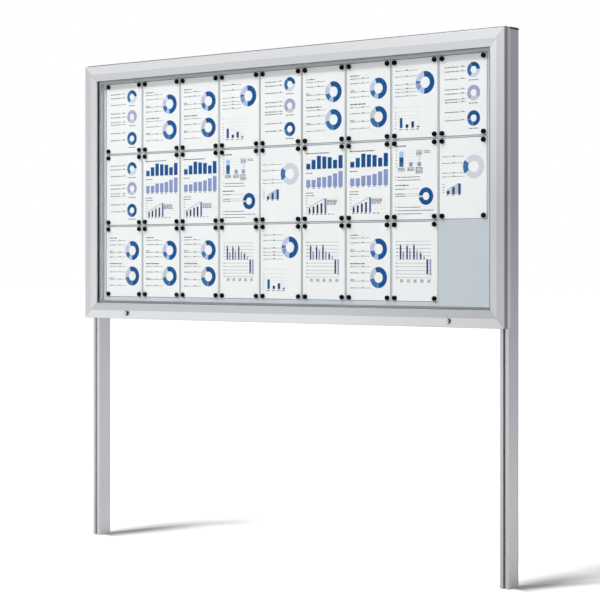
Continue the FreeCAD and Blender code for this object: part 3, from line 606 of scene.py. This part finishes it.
# The sheets of each row from left to right. The last place of the bottom row is free.
ROWS = {
    "top": [
        three_rings, two_rings, two_rings, ring_over_bars, three_rings,
        two_rings, two_rings, ring_over_bars, three_rings,
    ],
    "middle": [
        three_rings, three_bar_charts, three_bar_charts, stack_and_ring, pale_ring_and_bars,
        three_bar_charts, three_bar_charts, stack_and_ring, pale_ring_and_bars,
    ],
    "bottom": [
        two_rings, two_rings, two_rings, up_and_down_bars, ring_over_bars,
        up_and_down_bars, two_rings, up_and_down_bars,
    ],
}


def block_printer():
    """Geometry Nodes that print one flat block at each point, as wide and high as the point's size says."""
    tree = bpy.data.node_groups.new("block_printer", "GeometryNodeTree")
    tree.interface.new_socket("Marks", in_out="INPUT", socket_type="NodeSocketGeometry")
    tree.interface.new_socket("Ink", in_out="INPUT", socket_type="NodeSocketMaterial")
    tree.interface.new_socket("Paper to ink", in_out="INPUT", socket_type="NodeSocketFloat")
    tree.interface.new_socket("Printing", in_out="OUTPUT", socket_type="NodeSocketGeometry")
    given = add(tree, "NodeGroupInput", {}).outputs
    block = add(tree, "GeometryNodeMeshGrid", {"Size X": 1.0, "Size Y": 1.0, "Vertices X": 2, "Vertices Y": 2})
    size = add(tree, "GeometryNodeInputNamedAttribute", {"Name": "size"}, data_type="FLOAT_VECTOR")
    standing = {"Rotation": (math.pi / 2, 0, 0), "Scale": size.outputs["Attribute"]}
    blocks = {"Points": given["Marks"], "Instance": block.outputs["Mesh"], **standing}
    placed = add(tree, "GeometryNodeInstanceOnPoints", blocks).outputs[0]
    away = add(tree, "ShaderNodeVectorMath", {0: (0, -1, 0), "Scale": given["Paper to ink"]}, operation="SCALE")
    move = {"Instances": placed, "Translation": away.outputs[0], "Local Space": False}
    lifted = add(tree, "GeometryNodeTranslateInstances", move).outputs[0]
    real = add(tree, "GeometryNodeRealizeInstances", {"Geometry": lifted}).outputs[0]
    inked = add(tree, "GeometryNodeSetMaterial", {"Geometry": real, "Material": given["Ink"]}).outputs[0]
    add(tree, "NodeGroupOutput", {"Printing": inked})
    return tree


def shown(name, data):
    """An object in the scene with that mesh, lamp or camera."""
    made = bpy.data.objects.new(name, data)
    bpy.context.scene.collection.objects.link(made)
    return made


def grown(name, mesh, tree, **inputs):
    """The mesh that a Geometry Nodes tree makes of a starting mesh, with the tree's inputs set by name."""
    start = shown(name, mesh)
    modifier = start.modifiers.new("grow", "NODES")
    modifier.node_group = tree
    for socket in tree.interface.items_tree:
        if socket.in_out == "INPUT" and socket.name in inputs:
            modifier[socket.identifier] = inputs[socket.name]
    evaluated = start.evaluated_get(bpy.context.evaluated_depsgraph_get())
    made = bpy.data.meshes.new_from_object(evaluated)
    bpy.data.objects.remove(start)
    return made


printer = block_printer()
for row, designs in ROWS.items():
    low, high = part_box(f"sheets_{row}_row")
    # Blocks become points with a size for Geometry Nodes, other shapes become faces.
    blocks, corners, faces, face_inks = {}, [], [], []
    for column, design in enumerate(designs):
        left = low.x + column * (SHEET_WIDTH + SHEET_GAP) * MM
        sheet = design()
        for ink, u, v, width, height in sheet.blocks:
            middle, size = (left + u * MM, low.y, high.z - v * MM), (width * MM, height * MM, 1.0)
            blocks.setdefault(ink, []).append((middle, size))
        for ink, points in sheet.shapes:
            lift = LAYERS.get(ink, PRINT_LAYER) * MM
            faces.append(range(len(corners), len(corners) + len(points)))
            face_inks.append(ink)
            corners += [(left + u * MM, low.y - lift, high.z - v * MM) for u, v in points]
    charts = bpy.data.meshes.new(f"charts_{row}")
    charts.from_pydata(corners, [], faces)
    names = list(INKS)
    for name in names:
        charts.materials.append(inks[name])
    for face, ink in zip(charts.polygons, face_inks):
        face.material_index = names.index(ink)
        if face.normal.y > 0:
            face.flip()
    parts = [shown(f"printing_{row}_row", charts)]
    for ink, marks in blocks.items():
        points = bpy.data.meshes.new("marks")
        points.from_pydata([middle for middle, _ in marks], [], [])
        sizes = points.attributes.new("size", "FLOAT_VECTOR", "POINT")
        sizes.data.foreach_set("vector", [value for _, size in marks for value in size])
        lift = LAYERS.get(ink, PRINT_LAYER) * MM
        printed = grown("marks", points, printer, **{"Ink": inks[ink], "Paper to ink": lift})
        parts.append(shown("printed_" + ink, printed))
    with bpy.context.temp_override(active_object=parts[0], selected_editable_objects=parts):
        bpy.ops.object.join()
    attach(parts[0], "case")


# Studio ---------------------------------------------------------------------

# Where the painted shadow behind each post lies, a darker patch of floor, in degrees and in metres from the post's
# axis.
SHADOW_TURN = -80
PATCH_START, PATCH_END = 0.10, 0.92
PATCH_SIDE, PATCH_WIDTH, PATCH_END_WIDTH = -0.025, 0.12, 0.36
NO_PATCH_BEFORE, PATCH_FROM = -0.03, 0.01
PATCH_CORE = 0.15  # The part of its size that is fully dark.
WHITE_LIFT = 0.6
FLOOR_HALF, FLOOR_CLOUD = 60, 900
# Metals see the floor dim near the board, from its foot outwards in metres, so that the frame isn't lit from below.
FLOOR_NEAR, FLOOR_FAR, NEAR_GLOW, FAR_GLOW = 1.0, 7.0, 0.1, 0.5


def card(name, corners, colour):
    """A flat piece of the studio, which is no part of the object."""
    mesh = bpy.data.meshes.new(name)
    mesh.from_pydata(corners, [], [range(len(corners))])
    made = shown(name, mesh)
    mesh.materials.append(colour)
    return made


def seen_directly(tree):
    """1 for what the camera, a metal or the glass sees, 0 for the light that falls on the object."""
    path = add(tree, "ShaderNodeLightPath", {}).outputs
    some = maths(tree, "MAXIMUM", path["Is Camera Ray"], path["Is Glossy Ray"])
    some = maths(tree, "MAXIMUM", some, path["Is Transmission Ray"])
    straight = maths(tree, "LESS_THAN", path["Diffuse Depth"], 1.0)
    return maths(tree, "MULTIPLY", some, straight)


def outside_painted_post_shadows(tree):
    """0 in a patch behind each post, running back and a little to the right, where its shadow stays and a painted
    shadow lies, 1 elsewhere.
    """
    spot = axes(tree)
    nearer_post = maths(tree, "MULTIPLY", maths(tree, "SIGN", spot["X"]), POST_X)
    beside = maths(tree, "SUBTRACT", spot["X"], nearer_post)
    from_post = add(tree, "ShaderNodeCombineXYZ", {"X": beside, "Y": spot["Y"]}).outputs[0]
    turn = {"Vector": from_post, "Rotation": (0, 0, math.radians(SHADOW_TURN))}
    turned = add(tree, "ShaderNodeMapping", turn).outputs[0]
    in_patch = add(tree, "ShaderNodeSeparateXYZ", {0: turned}).outputs
    along = ramp(tree, in_patch["X"], PATCH_START, PATCH_END)
    width = ramp(tree, in_patch["X"], 0.0, PATCH_END, PATCH_WIDTH, PATCH_END_WIDTH)
    across = maths(tree, "DIVIDE", maths(tree, "SUBTRACT", in_patch["Y"], PATCH_SIDE), width)
    patch = add(tree, "ShaderNodeCombineXYZ", {"X": along, "Y": across}).outputs[0]
    away = add(tree, "ShaderNodeVectorMath", {0: patch}, operation="LENGTH").outputs["Value"]
    before = ramp(tree, in_patch["X"], PATCH_FROM, NO_PATCH_BEFORE)
    outside = ramp(tree, away, PATCH_CORE, 1.0)
    return maths(tree, "MAXIMUM", before, outside)


# Matt white studio floor. What the camera sees of it is lifted to the white of the background, except behind the
# posts, where their shadows stay and a painted shadow greys the floor's colour.
floor_paint, floor_tree, floor_shader = material(
    "matt_floor_paint", 0.0, 0.9, Specular_IOR_Level=0.0, Emission_Color=linear("#FFFFFF")
)
outside_painted_shadow = outside_painted_post_shadows(floor_tree)
from_board = add(floor_tree, "ShaderNodeVectorMath", {0: point(floor_tree)}, operation="LENGTH").outputs["Value"]
mirrored = ramp(floor_tree, from_board, FLOOR_NEAR, FLOOR_FAR, NEAR_GLOW, FAR_GLOW)
others = maths(floor_tree, "MULTIPLY", seen_directly(floor_tree), mirrored)
on_camera = add(floor_tree, "ShaderNodeLightPath", {}).outputs["Is Camera Ray"]
glow = mix(floor_tree, on_camera, others, between(floor_tree, outside_painted_shadow, 0.0, WHITE_LIFT), "FLOAT")
white = between(floor_tree, mottle(floor_tree, FLOOR_CLOUD), "#F0F0F0", "#F3F3F3")
# Painted shadow: grey floor colour in the patch behind each post.
feed(floor_tree, floor_shader, Base_Color=mix(floor_tree, outside_painted_shadow, "#B8B8BA", white), Emission_Strength=glow)
square = ((-1, -1), (1, -1), (1, 1), (-1, 1))
card("studio_floor", [(x * FLOOR_HALF, y * FLOOR_HALF, 0) for x, y in square], floor_paint)

# Grey card behind and to the right. Only metal sees it, so the sides of the posts read darker than the front, and
# more so above the lower edge of the board than below it. Its far end is brighter.
CARD_LOW, CARD_HIGH, LOW_TONE, HIGH_TONE = 0.5, 1.4, 0.60, 0.34
CARD_NEAR, CARD_FAR, FAR_GAIN = 2.6, 4.0, 0.19
card_paint, card_tree, card_shader = material(
    "grey_card", 0.0, 1.0, Base_Color=linear("#000000"), Emission_Color=linear("#F6F8FF")
)
card_tone = ramp(card_tree, axes(card_tree)["Z"], CARD_LOW, CARD_HIGH, LOW_TONE, HIGH_TONE)
card_gain = ramp(card_tree, axes(card_tree)["Y"], CARD_NEAR, CARD_FAR, 0.0, FAR_GAIN)
feed(card_tree, card_shader, Emission_Strength=maths(card_tree, "ADD", card_tone, card_gain))
side_card = card("side_card", [(6.0, -1.2, -0.5), (6.0, -1.2, 6.0), (0.2, 6.5, 6.0), (0.2, 6.5, -0.5)], card_paint)
side_card.visible_camera = side_card.visible_diffuse = False
side_card.visible_transmission = side_card.visible_shadow = False

# The room is white, and a little darker in front, where only metal and glass see it. The darker part begins and is
# full at these forward and rightward parts of a direction of length 1.
DIFFUSE_LIGHT, FRONT_TONE = 0.6, 0.88
FORWARD, RIGHTWARD = (0.1, -0.1), (-0.74, -0.5)
world = bpy.data.worlds.new("studio")
bpy.context.scene.world = world
world.use_nodes = True
room_tree, sky = world.node_tree, world.node_tree.nodes["Background"]
sky.inputs["Color"].default_value = linear("#FFFFFF")
toward = axes(room_tree, "Generated")
in_front = ramp(room_tree, toward["Y"], *FORWARD)
not_far_left = ramp(room_tree, toward["X"], *RIGHTWARD)
seen = between(room_tree, maths(room_tree, "MULTIPLY", in_front, not_far_left), 1.0, FRONT_TONE)
room = mix(room_tree, seen_directly(room_tree), DIFFUSE_LIGHT, seen, "FLOAT")
room_tree.links.new(room, sky.inputs["Strength"])

# A soft disk high on the left and in front, in metres and watts, aimed at the middle of the board.
KEY_PLACE, KEY_AIM, KEY_SIZE, KEY_POWER = Vector((-2.4, -5.1, 8.8)), Vector((0, 0, 1.3)), 1.1, 350
lamp = bpy.data.lights.new("key_lamp", "AREA")
lamp.shape, lamp.size, lamp.energy = "DISK", KEY_SIZE, KEY_POWER
key = shown("key_lamp", lamp)
key.location = KEY_PLACE
key.rotation_euler = (KEY_AIM - key.location).to_track_quat("-Z", "Y").to_euler()

# The camera that fits the frame's corners. Focal length and horizon are in pixels of a square picture, the turn to
# the left is in degrees.
PICTURE, FOCAL_LENGTH, HORIZON, SENSOR = 600, 1822.8, 262.9, 36
CAMERA_PLACE, CAMERA_TURN = (4.578, -5.531, CASE_MID_HEIGHT - 0.301), 39.206
view = bpy.data.cameras.new("front_view")
view.sensor_width, view.lens = SENSOR, SENSOR * FOCAL_LENGTH / PICTURE
view.shift_y = (HORIZON - PICTURE / 2) / PICTURE
view.clip_end = 200
camera = shown("front_view", view)
camera.location = CAMERA_PLACE
camera.rotation_euler = (math.pi / 2, 0, math.radians(CAMERA_TURN))
bpy.context.scene.camera = camera
bpy.context.scene.view_settings.view_transform = "Standard"
